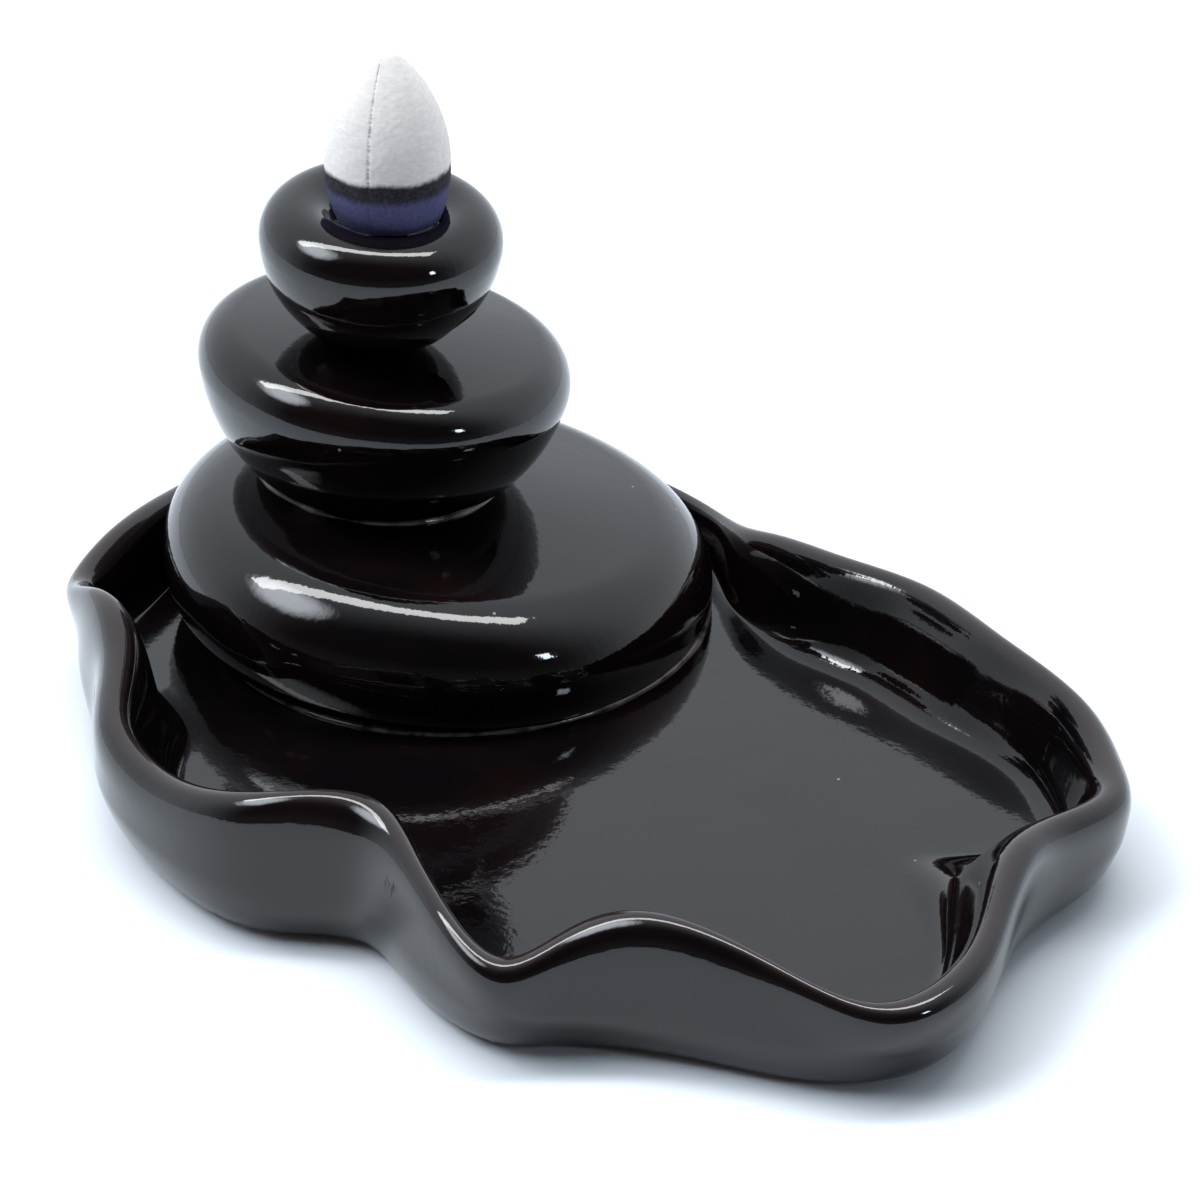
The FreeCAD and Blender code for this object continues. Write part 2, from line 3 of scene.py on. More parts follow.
import bpy
import numpy as np
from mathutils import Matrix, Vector


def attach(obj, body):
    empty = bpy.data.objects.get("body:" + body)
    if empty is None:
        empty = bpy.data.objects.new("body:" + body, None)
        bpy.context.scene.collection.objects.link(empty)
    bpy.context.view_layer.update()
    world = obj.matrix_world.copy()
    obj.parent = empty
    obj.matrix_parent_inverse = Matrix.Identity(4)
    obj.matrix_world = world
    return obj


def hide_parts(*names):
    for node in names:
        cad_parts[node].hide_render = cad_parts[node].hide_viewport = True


bl_info = {
    "name": "Pebble incense burner",
    "version": (1, 0, 0),
    "blender": (4, 5, 0),
    "location": "View3D > Sidebar > Burner",
    "description": "Glazed pebbles stacked on a leaf dish, with a burning cone in the top pebble",
    "category": "Object",
}

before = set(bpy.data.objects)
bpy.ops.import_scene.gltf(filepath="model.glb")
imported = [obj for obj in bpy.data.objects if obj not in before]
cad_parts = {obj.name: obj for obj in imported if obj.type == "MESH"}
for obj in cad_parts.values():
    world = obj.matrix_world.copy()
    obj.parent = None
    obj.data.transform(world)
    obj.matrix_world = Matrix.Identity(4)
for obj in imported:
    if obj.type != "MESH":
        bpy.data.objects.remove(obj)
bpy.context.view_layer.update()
MM = 0.001

# Leaf outline by stations: place of the lip along and across the leaf (0 to 1 beside the lower
# pebble, 1 to 2 over the rest), height of the lip, stand-out of the belly, run of the inner wall.
LIP_STATIONS = np.array((
    (1.979, 0.692, 12.2, -0.4, 7.4),
    (1.917, 0.583, 13.3, -0.2, 9.5),
    (1.856, 0.478, 14.2, 0.4, 14.0),
    (1.827, 0.390, 13.5, 0.7, 16.0),
    (1.823, 0.307, 12.9, 0.1, 12.0),
    (1.807, 0.226, 12.5, -0.1, 8.0),
    (1.726, 0.149, 12.6, 1.1, 7.5),
    (1.615, 0.089, 13.3, 1.4, 8.0),
    (1.408, 0.057, 14.3, 1.8, 9.0),
    (1.222, 0.042, 14.8, 1.6, 9.0),
    (1.057, 0.067, 14.3, 1.8, 8.0),
    (0.892, 0.081, 13.1, 1.2, 5.0),
    (0.817, 0.077, 11.9, 0.8, 3.4),
    (0.738, 0.049, 10.6, 0.1, 2.4),
    (0.622, 0.011, 9.0, -0.2, 2.2),
    (0.504, 0.000, 8.3, -0.3, 2.2),
    (0.330, 0.031, 8.2, -0.4, 2.2),
    (0.113, 0.184, 8.4, -0.6, 2.2),
    (0.005, 0.386, 9.0, -0.7, 2.2),
    (0.000, 0.612, 10.6, -0.7, 2.6),
    (0.055, 0.757, 12.0, -0.3, 3.2),
    (0.129, 0.935, 12.4, -0.2, 5.0),
    (0.233, 1.231, 12.0, -1.6, 6.0),
    (0.367, 1.357, 15.8, 2.0, 6.0),
    (0.528, 1.554, 15.6, 2.8, 7.0),
    (0.693, 1.904, 13.8, 1.0, 7.0),
    (0.885, 2.000, 13.2, 1.5, 7.0),
    (1.092, 1.848, 16.3, 2.8, 8.0),
    (1.205, 1.577, 16.6, 2.8, 8.0),
    (1.349, 1.649, 14.6, 2.6, 8.0),
    (1.445, 1.728, 13.4, 1.2, 7.5),
    (1.561, 1.705, 11.4, -0.3, 7.0),
    (1.599, 1.448, 13.2, 1.5, 8.5),
    (1.659, 1.222, 15.5, 2.4, 10.0),
    (1.738, 1.054, 15.1, 2.6, 10.0),
    (1.823, 0.973, 13.4, 2.2, 9.0),
    (1.953, 0.913, 11.3, -0.8, 7.2),
    (2.000, 0.811, 11.2, -0.8, 6.8),
))
LEAF_LENGTH = 131.3
LEAF_WIDTH = 86.3
BACK_GAP = 1.8
SIDE_GAP = 2.4
FLOOR_HEIGHT = 4.5
LIP_WIDTH = 4.6
LIP_SHARE = 0.68
BELLY_HEIGHT = 5.0
FOOT_TUCK = 4.0
VENT_RADIUS = 2.5

# Pebbles by girth, edge rounding, rise of the crown, depth of the belly and drop to the foot.
LOWER = {"girth": 30.8, "edge": 8.6, "dome": 1.2, "belly": 2.9, "foot": 5.3}
MIDDLE = {"girth": 20.6, "edge": 4.5, "dome": 1.1, "belly": 12.8, "foot": 13.5}
TOP = {"girth": 13.15, "edge": 4.3, "dome": -2.9, "belly": 8.2, "foot": 12.8}
MIDDLE_SHIFT = (-8.2, 3.3)
TOP_SHIFT = (-2.2, -4.5)
MIDDLE_SEAT = 1.6
TOP_SEAT = 1.0
LEAN_BEARING = 50.0
LOWER_LEAN = 7.0
MIDDLE_LEAN = 7.8
TOP_LEAN = 4.5
TOP_TIP = 5.0

# Cone by the heights of its burn lines, the arcs of its bullet and its bore. A pin hole closes the
# mesh from the tip to the bore. The mould seams have a bearing and a width in degrees.
CONE_GAP = 0.15
CONE_RADIUS = 6.77
CONE_FOOT_RADIUS = 5.65
CONE_BASE_HEIGHT = 4.05
CONE_BELT_HEIGHT = 5.95
CONE_OGIVE = 16.7
CONE_TIP = 2.4
CONE_BORE_RADIUS = 1.6
CONE_BORE_DEPTH = 9.0
CONE_PIN_HOLE = 0.02
SEAM_BEARING = 55
SEAM_WIDTH = 1.6

# Marks for the finishes: control loop of the crest, spread of the thin glaze about it and height
# of the bare clay over the foot, both in spans of the wall's section, and the radius under which
# the cone's relief and seams fade out towards its tip.
CREST_LOOP = 6
THIN_SPREAD = 0.6
BARE_SPANS = 0.25
TIP_FADE_RADIUS = 1.5

# Seeded waves: spread of their lengths, then length and count for each piece. The powder has
# coarse and fine ones, each by share, length, count and seed.
WAVE_SPREAD = (0.6, 1.5)
PEBBLE_WAVE_SHARE = 0.9
PEBBLE_WAVES = 9
PEBBLE_SEEDS = (11, 12)
BEAD_SWELL = 0.18
BEAD_WAVE_LENGTH = 7.0
BEAD_WAVES = 8
FIRST_BEAD_SEED = 21
POWDER_WAVES = ((0.6, 3.2, 14, 5), (0.4, 0.9, 20, 6))

# Fineness of the meshes and of the lines that they follow.
DISH_COLUMNS = 560
DISH_SPAN_ROWS = 14
LIP_SAMPLES = 20
FOOT_RINGS = 8
FLOOR_RINGS = 24
PEBBLE_COLUMNS = 288
PEBBLE_ROWS = (70, 90, 70)
BASE_BEAD_COLUMNS = 720
LOWER_BEAD_COLUMNS = 560
UPPER_BEAD_COLUMNS = 420
BEAD_SIDES = 14
CONE_COLUMNS = 360
CONE_ROW_HEIGHT = 0.1
CONE_FEWEST_ROWS = 6
HALVINGS = 40
SHARP_ANGLE = 50

# Finishes: refraction of the glaze, settled dust, and the burn lines' blur under and over their
# heights on the cone.
GLAZE_IOR = 1.52
DUST_COLOUR = (0.6, 0.58, 0.55, 1.0)
CLAY_ROUGHNESS = 0.85
BURN_BLUR = (0.75, 0.45)
ASH_BLUR = (0.3, 0.5)
WHITE = (1.0, 1.0, 1.0, 1.0)

# Table: half side and drop under the foot, in metres, and its two tints.
TABLE_SIDE = 0.9
TABLE_DROP = 0.0002
TABLE_TINTS = ((0.9, 0.95, 1.0), (0.89, 0.945, 1.0))

# Camera: the point that it looks at, in millimetres, its sensor, and its near limit in metres.
CAMERA_TARGET = (-0.42, 6.18, 20.0)
CAMERA_SENSOR = 36.0
CAMERA_NEAR = 0.01

# Lamps by place (up, right, away from the camera) and by width and height, in metres. The
# skylight is a bright spot of the room, by its way and the angles of its edge and its core. The
# room is brighter behind the burner, and a little brighter near the ground.
LONG_LAMP = ((1.0, -0.25, 0.12), (1.5, 0.18))
RIGHT_WINDOW = ((0.62, 1.05, -0.75), (0.12, 0.16))
RIGHT_WINDOW_POWER = 1.6
RIGHT_WINDOW_TINT = (0.75, 0.88, 1.0)
SKYLIGHT = (0.8, -0.6, -0.12)
SKYLIGHT_ANGLES = (0.34, 0.08)
ROOM_TINT = (0.86, 0.925, 1.0, 1.0)
ROOM_DIM = 0.025
ROOM_BACK = 1.1
ROOM_GROUND = 0.1


class Wire:
    """A number on its way through a node tree: arithmetic on it adds Math nodes."""

    def __init__(self, tree, socket):
        self.tree = tree
        self.socket = socket

    def maths(self, operation, first, second):
        return self.tree.node("ShaderNodeMath", {"operation": operation}, {0: first, 1: second})

    def __add__(self, other):
        return self.maths("ADD", self, other)

    def __radd__(self, other):
        return self.maths("ADD", other, self)

    def __sub__(self, other):
        return self.maths("SUBTRACT", self, other)

    def __rsub__(self, other):
        return self.maths("SUBTRACT", other, self)

    def __mul__(self, other):
        return self.maths("MULTIPLY", self, other)

    def __rmul__(self, other):
        return self.maths("MULTIPLY", other, self)

    def step(self, low, high):
        """Smooth step from 0 at low to 1 at high."""
        return self.tree.node("ShaderNodeMapRange", {"interpolation_type": "SMOOTHSTEP"},
                              {"Value": self, "From Min": low, "From Max": high})


class Tree:
    """A node tree in the making."""

    def __init__(self, owner):
        owner.use_nodes = True
        self.nodes = owner.node_tree.nodes
        self.links = owner.node_tree.links
        self.nodes.clear()

    def node(self, kind, settings, sockets, output=0):
        """Add a node: its settings first, then a value or a link for each socket."""
        added = self.nodes.new(kind)
        for name, value in settings.items():
            setattr(added, name, value)
        for key, value in sockets.items():
            if isinstance(value, Wire):
                self.links.new(value.socket, added.inputs[key])
            else:
                added.inputs[key].default_value = value
        return Wire(self, added.outputs[output]) if added.outputs else None

    def place(self):
        """Object coordinates, in metres."""
        return self.node("ShaderNodeTexCoord", {}, {}, "Object")

    def noise(self, scale, detail=3.0, roughness=0.5, vector=None):
        """Cloudy pattern from 0 to 1, with so many features to the metre."""
        return self.node("ShaderNodeTexNoise", {}, {
            "Vector": vector or self.place(), "Scale": scale, "Detail": detail,
            "Roughness": roughness})

    def specks(self, scale, radius, rarity):
        """Scattered round dots: 1 inside a dot, kept in the rarest cells of a cell pattern."""
        cell = {"Vector": self.place(), "Scale": scale}
        distance = self.node("ShaderNodeTexVoronoi", {}, cell)
        tint = self.node("ShaderNodeTexVoronoi", {}, cell, "Color")
        pick = self.node("ShaderNodeSeparateColor", {}, {"Color": tint})
        inside = 1 - distance.step(radius * 0.7, radius)
        return inside * pick.step(rarity, rarity + 0.01)

    def mark(self, name):
        """A number painted on the piece's own points."""
        return self.node("ShaderNodeAttribute", {"attribute_name": name}, {}, "Fac")

    def mix(self, factor, first, second):
        """One colour going over to another."""
        return self.node("ShaderNodeMix", {"data_type": "RGBA"},
                         {0: factor, 6: first, 7: second}, 2)

    def bump(self, height, distance, strength, under=None):
        """Relief of a height pattern, on top of another relief."""
        sockets = {"Height": height, "Distance": distance, "Strength": strength}
        if under:
            sockets["Normal"] = under
        return self.node("ShaderNodeBump", {}, sockets)

    def surface(self, sockets):
        """Close a material with one principled shader."""
        shader = self.node("ShaderNodeBsdfPrincipled", {}, sockets)
        self.node("ShaderNodeOutputMaterial", {}, {"Surface": shader})


def opaque(colour):
    """Colour of a setting, with full alpha."""
    return (*colour, 1.0)


def glaze_finish(settings):
    """Glossy near-black iron glaze: clouded brown, thin on edges, bare clay under the foot."""
    material = bpy.data.materials.new("tenmoku_glaze")
    tree = Tree(material)
    cloud = tree.noise(scale=70.0, detail=4.0)
    fine = tree.noise(scale=600.0)
    thin = (tree.mark("thin") * (0.45 + cloud * 0.9)).step(0.1, 1.0)
    bare = tree.mark("bare")
    dust = tree.specks(scale=420.0, radius=0.09, rarity=0.98)
    body = tree.mix(cloud.step(0.35, 0.75), opaque(settings.glaze), opaque(settings.glaze_warm))
    edged = tree.mix(thin, body, opaque(settings.glaze_thin))
    dusted = tree.mix(dust * 0.35, edged, DUST_COLOUR)
    colour = tree.mix(bare, dusted, opaque(settings.clay))
    gloss = settings.roughness + fine.step(0.55, 0.9) * 0.05 + dust * 0.3
    rough = gloss * (1 - bare) + bare * CLAY_ROUGHNESS
    ripple = tree.bump(tree.noise(scale=95.0, detail=2.0), distance=0.0004,
                       strength=settings.ripple)
    peel = tree.bump(tree.noise(scale=900.0, detail=2.0), distance=0.00003, strength=0.5,
                     under=ripple)
    tree.surface({"Base Color": colour, "Roughness": rough, "Normal": peel, "IOR": GLAZE_IOR,
                  "Specular IOR Level": 0.5})
    return material


def bead_and_painted_highlight_finish(settings):
    """Bead of slip under the glaze: lighter brown where the glaze runs thin, and so light that it
    paints a highlight along each joint.
    """
    material = bpy.data.materials.new("slip_bead_painted_highlight")
    tree = Tree(material)
    runs = tree.noise(scale=420.0)
    # Bead colour is partly painted highlight: far lighter than the glaze, it stands in for the
    # bright line along each joint.
    colour = tree.mix(runs.step(0.3, 0.75), opaque(settings.bead), opaque(settings.glaze_warm))
    lumps = tree.bump(tree.noise(scale=700.0, detail=2.0), distance=0.0001, strength=0.4)
    tree.surface({"Base Color": colour, "Roughness": 0.07 + runs * 0.06, "Normal": lumps,
                  "IOR": GLAZE_IOR})
    return material


def cone_finish(settings, foot):
    """Pressed powder from unburnt base through char to ash, by height over the cone's foot."""
    material = bpy.data.materials.new("burning_cone")
    tree = Tree(material)
    place = tree.place()
    height = tree.node("ShaderNodeSeparateXYZ", {}, {"Vector": place}, "Z") - foot
    wander = (tree.noise(scale=260.0, detail=4.0) - 0.5) * 0.0011
    flecks = (tree.noise(scale=1500.0, detail=4.0, roughness=0.65) - 0.5) * 0.0005
    burnt = (height + wander * 0.6).step((CONE_BASE_HEIGHT - BURN_BLUR[0]) * MM,
                                         (CONE_BASE_HEIGHT + BURN_BLUR[1]) * MM)
    ashen = (height + wander + flecks).step((CONE_BELT_HEIGHT - ASH_BLUR[0]) * MM,
                                            (CONE_BELT_HEIGHT + ASH_BLUR[1]) * MM)
    grain = tree.noise(scale=2600.0, detail=5.0, roughness=0.7)
    squeezed = tree.node("ShaderNodeVectorMath", {"operation": "MULTIPLY"},
                         {0: place, 1: (1.0, 1.0, 4.0)})
    streak = tree.noise(scale=900.0, roughness=0.6, vector=squeezed)
    seam = tree.mark("seam") * streak.step(0.35, 0.6)
    soot = tree.specks(scale=700.0, radius=0.08, rarity=0.985)
    powder = tree.mix(grain.step(0.3, 0.8), opaque(settings.incense),
                      opaque(settings.incense_pale))
    ember = tree.mix(grain.step(0.4, 0.9), opaque(settings.char), opaque(settings.char_pale))
    ash = tree.mix(streak.step(0.3, 0.75), opaque(settings.ash), opaque(settings.ash_grey))
    marked = tree.mix((seam * 0.6 + soot * 0.7).step(0.0, 1.0), ash, opaque(settings.char_pale))
    lower = tree.mix(burnt, powder, ember)
    colour = tree.mix(ashen, lower, marked)
    relief = tree.bump(grain + streak * 0.8, distance=0.00006, strength=0.5)
    tree.surface({"Base Color": colour, "Roughness": 0.92 - grain * 0.08, "Normal": relief,
                  "Specular IOR Level": 0.2})
    return material


def table_finish(settings):
    """Plain pale table, with the faintest mottling."""
    material = bpy.data.materials.new("pale_table")
    tree = Tree(material)
    mottle = tree.noise(scale=12.0)
    first, second = (opaque(settings.floor_tone * part for part in tint) for tint in TABLE_TINTS)
    colour = tree.mix(mottle, first, second)
    tree.surface({"Base Color": colour, "Roughness": 0.6 + mottle * 0.1})
    return material


def turned(axis, degrees):
    """Rotation matrix about a unit axis, by Rodrigues' rule."""
    x, y, z = axis
    cross = np.array(((0.0, -z, y), (z, 0.0, -x), (-y, x, 0.0)))
    angle = math.radians(degrees)
    return np.eye(3) + math.sin(angle) * cross + (1 - math.cos(angle)) * cross @ cross


def lower_plan():
    """Middle of the lower pebble in plan, over the vent of the dish."""
    return (LOWER["girth"] + BACK_GAP - LEAF_LENGTH / 2,
            LEAF_WIDTH / 2 - LOWER["girth"] - SIDE_GAP)


def pebble_places():
    """Centre and turn of each pebble, carried up the stack from the lower one."""
    bearing = math.radians(LEAN_BEARING)
    ahead = np.array((math.cos(bearing), math.sin(bearing), 0.0))
    aside = np.array((-math.sin(bearing), math.cos(bearing), 0.0))
    upward = np.array((0.0, 0.0, 1.0))

    def stacked(centre, turn, below, above, seat, shift):
        rise = below["edge"] + below["dome"] - seat + above["foot"]
        return centre + turn @ (shift[0] * ahead + shift[1] * aside + rise * upward)

    lower = np.array((*lower_plan(), FLOOR_HEIGHT + LOWER["foot"]))
    lower_turn = turned(aside, LOWER_LEAN)
    middle = stacked(lower, lower_turn, LOWER, MIDDLE, MIDDLE_SEAT, MIDDLE_SHIFT)
    middle_turn = lower_turn @ turned(aside, MIDDLE_LEAN - LOWER_LEAN)
    top = stacked(middle, middle_turn, MIDDLE, TOP, TOP_SEAT, TOP_SHIFT)
    top_turn = middle_turn @ turned(aside, TOP_LEAN - MIDDLE_LEAN) @ turned(ahead, TOP_TIP)
    return (lower, lower_turn), (middle, middle_turn), (top, top_turn)


def waves(points, length, count, seed):
    """Smooth relief from -1 to 1: the mean of sine waves of seeded directions and phases."""
    draw = np.random.default_rng(seed)
    ways = draw.normal(size=(count, 3))
    ways *= (2 * math.pi / length / np.linalg.norm(ways, axis=1))[:, None]
    ways *= draw.uniform(*WAVE_SPREAD, size=(count, 1))
    phases = draw.uniform(0, 2 * math.pi, size=count)
    return np.sin(points @ ways.T + phases).sum(axis=-1) / math.sqrt(count)


def unit_ring(columns):
    """Points of the unit circle, one for each column."""
    around = np.linspace(0, 2 * math.pi, columns, endpoint=False)
    return np.stack((np.cos(around), np.sin(around)), -1)


def spun(profile, columns):
    """Grid of a profile, given as radius and height, turned about the upright axis."""
    heights = np.broadcast_to(profile[:, None, 1:], (len(profile), columns, 1))
    return np.concatenate((profile[:, None, :1] * unit_ring(columns), heights), axis=-1)


def grid_faces(rows, columns, closed_rows):
    """Corner numbers of a grid's quads: each row closes on itself, and the rows may too."""
    corners = np.arange(rows * columns).reshape(rows, columns)
    beside = np.roll(corners, -1, axis=1)
    above = np.roll(corners, -1, axis=0)
    across = np.roll(beside, -1, axis=0)
    quads = np.stack((corners, beside, across, above), axis=-1)
    return (quads if closed_rows else quads[:-1]).reshape(-1, 4)


def pole_faces(ring, pole):
    """Triangles from a closed ring of corners to one corner at its middle."""
    return np.stack((ring, np.full(len(ring), pole), np.roll(ring, -1)), axis=-1)


def new_piece(name, points, faces, marks, material):
    """Mesh object of points in millimetres, with faces turned outwards and numbers painted on."""
    fans = [np.concatenate((quads[:, :3], quads[:, (0, 2, 3)])) if quads.shape[1] == 4 else quads
            for quads in faces]
    corners = points[np.concatenate(fans)]
    volume = np.einsum("ij,ij->", corners[:, 0], np.cross(corners[:, 1], corners[:, 2]))
    if volume < 0:
        faces = [group[:, ::-1] for group in faces]
    mesh = bpy.data.meshes.new(name)
    loops = np.concatenate([group.ravel() for group in faces])
    counts = np.concatenate([np.full(len(group), group.shape[1]) for group in faces])
    mesh.vertices.add(len(points))
    mesh.vertices.foreach_set("co", (points * MM).astype(np.float32).ravel())
    mesh.loops.add(len(loops))
    mesh.loops.foreach_set("vertex_index", loops.astype(np.int32))
    mesh.polygons.add(len(counts))
    mesh.polygons.foreach_set("loop_start", (np.cumsum(counts) - counts).astype(np.int32))
    mesh.update(calc_edges=True)
    mesh.validate()
    mesh.shade_smooth()
    mesh.set_sharp_from_angle(angle=math.radians(SHARP_ANGLE))
    for mark, values in marks.items():
        layer = mesh.attributes.new(mark, "FLOAT", "POINT")
        layer.data.foreach_set("value", values.astype(np.float32).ravel())
    mesh.materials.append(material)
    piece = bpy.data.objects.new(name, mesh)
    bpy.context.scene.collection.objects.link(piece)
    return piece


def stand_for(piece, body, node):
    """Let a piece ride on a body in place of a CAD node, which is hidden."""
    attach(piece, body)
    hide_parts(node)


def closed_spline(knots, values, at):
    """Periodic cubic spline: second derivatives from the cyclic three-term system, then cubics."""
    gaps = np.diff(knots)
    count = len(gaps)
    after = np.roll(np.arange(count), -1)
    slopes = (values[after] - values) / gaps[:, None]
    before_gaps = np.roll(gaps, 1)
    system = np.diag((before_gaps + gaps) / 3)
    rows = np.arange(count)
    system[rows, np.roll(rows, 1)] += before_gaps / 6
    system[rows, after] += gaps / 6
    bends = np.linalg.solve(system, slopes - np.roll(slopes, 1, axis=0))
    span = np.clip(np.searchsorted(knots, at, side="right") - 1, 0, count - 1)
    right = ((at - knots[span]) / gaps[span])[:, None]
    left = 1 - right
    square = (gaps[span] ** 2 / 6)[:, None]
    return (left * values[span] + right * values[after[span]]
            + square * ((left ** 3 - left) * bends[span]
                        + (right ** 3 - right) * bends[after[span]]))


def section_weights(count, at):
    """Clamped cubic B-spline weights of the wall's control points, by the Cox-de Boor rule."""
    spans = count - 3
    knots = np.concatenate((np.zeros(3), np.arange(spans + 1), np.full(3, spans)))
    inside = np.minimum(at, spans - 1e-9)[:, None]
    weights = ((knots[:-1] <= inside) & (inside < knots[1:])).astype(float)
    for degree in (1, 2, 3):
        low = knots[:-degree - 1]
        high = knots[degree + 1:]
        rise = np.where(knots[degree:-1] > low, knots[degree:-1] - low, 1)
        fall = np.where(high > knots[1:-degree], high - knots[1:-degree], 1)
        weights = ((inside - low) / rise * weights[:, :-1]
                   + (high - inside) / fall * weights[:, 1:])
    return weights


def leaf_loops():
    """Control loops of the dish's skin at its stations, with the stations' bearings.

    Each station gives eleven steps out from the lip and heights: flat foot, belly, under the
    lip, round over its crest, and down the inner wall to the floor.
    """
    along, across, crest, bulge, run = LIP_STATIONS.T
    room = 2 * LOWER["girth"] + np.array((BACK_GAP, SIDE_GAP))
    whole = np.array((LEAF_LENGTH, LEAF_WIDTH))
    share = np.stack((along, across), axis=-1)
    places = np.minimum(share, 1) * room + np.maximum(share - 1, 0) * (whole - room)
    plan = (places - whole / 2) * (1, -1)
    half = np.minimum(LIP_WIDTH / 2, run * LIP_SHARE)
    reach = bulge + half / 2
    level = np.zeros_like(crest)
    steps = np.stack((
        bulge - FOOT_TUCK, bulge - FOOT_TUCK / 4, reach, (3 * reach + half) / 4,
        (reach + half) / 2, half, level, -half,
        -half - (run - half) / 4, -half - (run - half) / 2, -run))
    heights = np.stack((
        level, level, level + BELLY_HEIGHT, (BELLY_HEIGHT + crest) / 2 - half,
        crest - 2 * half, crest - half / 3, crest + half / 3, crest - half / 3,
        crest - 2 * half, level + FLOOR_HEIGHT, level + FLOOR_HEIGHT))
    grow = 1 + steps / np.linalg.norm(plan, axis=1)
    loops = np.concatenate((plan * grow[..., None], heights[..., None]), axis=-1)
    bearings = np.unwrap(np.arctan2(plan[:, 1], plan[:, 0]))
    return loops, np.append(bearings, bearings[0] + 2 * math.pi)


def leaf_surface(columns, span_rows):
    """Dish as one closed grid: vent, foot, skin over the lip, floor and back to the vent.

    The skin is the sum over its control loops of closed splines along the leaf, weighted by
    B-splines up the wall, so a loop acts one span under its own number. Foot and floor blend
    straight from its edges to the vent's circles.
    """
    loops, bearings = leaf_loops()
    dense = np.linspace(bearings[0], bearings[-1], LIP_SAMPLES * columns)
    lip = closed_spline(bearings, loops[CREST_LOOP], dense)
    length = np.concatenate(((0.0,), np.cumsum(np.linalg.norm(np.diff(lip, axis=0), axis=1))))
    at = np.interp(np.linspace(0, length[-1], columns, endpoint=False), length, dense)
    lines = np.stack([closed_spline(bearings, loop, at) for loop in loops])
    spans = len(loops) - 3
    up = np.linspace(0, spans, span_rows * spans + 1)
    skin = np.einsum("vj,juc->vuc", section_weights(len(loops), up), lines)
    vent = np.array((*lower_plan(), 0.0))

    def to_vent(edge, shares):
        ray = (edge - vent) * (1, 1, 0)
        ring = vent + ray * (VENT_RADIUS / np.linalg.norm(ray, axis=1))[:, None]
        ring[:, 2] = edge[:, 2]
        return edge + (ring - edge) * shares[:, None, None]

    foot = to_vent(skin[0], np.linspace(1, 0, FOOT_RINGS + 1)[:-1])
    floor = to_vent(skin[-1], np.linspace(0, 1, FLOOR_RINGS + 1)[1:])
    points = np.concatenate((foot, skin, floor))
    crest = np.exp(-((up - (CREST_LOOP - 1)) / THIN_SPREAD) ** 2)
    thin = np.concatenate((np.zeros(FOOT_RINGS), crest, np.zeros(FLOOR_RINGS)))
    bare = np.concatenate((np.ones(FOOT_RINGS), up < BARE_SPANS, np.zeros(FLOOR_RINGS)))
    marks = {"thin": np.repeat(thin, columns), "bare": np.repeat(bare, columns)}
    return points.reshape(-1, 3), grid_faces(len(points), columns, True), marks


def arc(centre, radius, start, end, count):
    """Points of a circle's arc as radius and height, from a start to an end angle."""
    angles = np.linspace(start, end, count)
    return np.stack((centre[0] + radius * np.cos(angles), centre[1] + radius * np.sin(angles)), -1)


def centre_drop(across, rise):
    """Drop from an arc's chord to its centre, by half the chord and the rise of the arc."""
    return (across ** 2 - rise ** 2) / (2 * rise)


def pebble_profile(pebble, counts):
    """Half profile of a pebble from crown to keel: cap arc, round edge, deeper underside arc."""
    edge, dome, belly = pebble["edge"], pebble["dome"], pebble["belly"]
    across = pebble["girth"] - edge
    drop = centre_drop(across, dome)
    lift = centre_drop(across, belly)
    upper = math.atan2(drop, across)
    under = math.atan2(lift, across)
    cap = arc((0, -drop), drop + edge + dome, math.pi / 2, upper, counts[0])
    side = arc((across, 0), edge, upper, -under, counts[1])
    keel = arc((0, lift), lift + edge + belly, -under, -math.pi / 2, counts[2])
    profile = np.concatenate((cap, side[1:], keel[1:]))
    profile[(0, -1), 0] = 0
    return profile


def pebble_surface(pebble, place, sole, relief, seed, columns=PEBBLE_COLUMNS):
    """Pebble turned from its half profile, tilted into place and flattened on its sole.

    Seeded waves move each point along its ray from the pebble's middle, and points under the
    sole, given as a point and a normal, are pushed up to it.
    """
    centre, turn = place
    profile = pebble_profile(pebble, PEBBLE_ROWS)
    body = spun(profile[1:-1], columns).reshape(-1, 3)
    poles = np.array(((0, 0, profile[0, 1]), (0, 0, profile[-1, 1])))
    points = np.concatenate((body, poles))
    rays = points / np.linalg.norm(points, axis=1)[:, None]
    swell = waves(points, pebble["girth"] * PEBBLE_WAVE_SHARE, PEBBLE_WAVES, seed)
    points = points + rays * (relief * swell)[:, None]
    points = points @ turn.T + centre
    under = np.minimum((points - sole[0]) @ sole[1], 0)
    points = points - under[:, None] * sole[1]
    rows = len(profile) - 2
    first = np.arange(columns)
    last = first + (rows - 1) * columns
    faces = [grid_faces(rows, columns, False), pole_faces(first[::-1], rows * columns),
             pole_faces(last, rows * columns + 1)]
    return points, faces


def crown_height(pebble, place, points):
    """Distance of points above a pebble's crown: to its cap sphere, or to its edge ring."""
    centre, turn = place
    local = (points - centre) @ turn
    out = np.hypot(local[..., 0], local[..., 1])
    across = pebble["girth"] - pebble["edge"]
    drop = centre_drop(across, pebble["dome"])
    cap = np.hypot(out, local[..., 2] + drop) - (drop + pebble["edge"] + pebble["dome"])
    ring = np.hypot(out - across, local[..., 2]) - pebble["edge"]
    return np.where(out * drop < across * (local[..., 2] + drop), cap, ring)


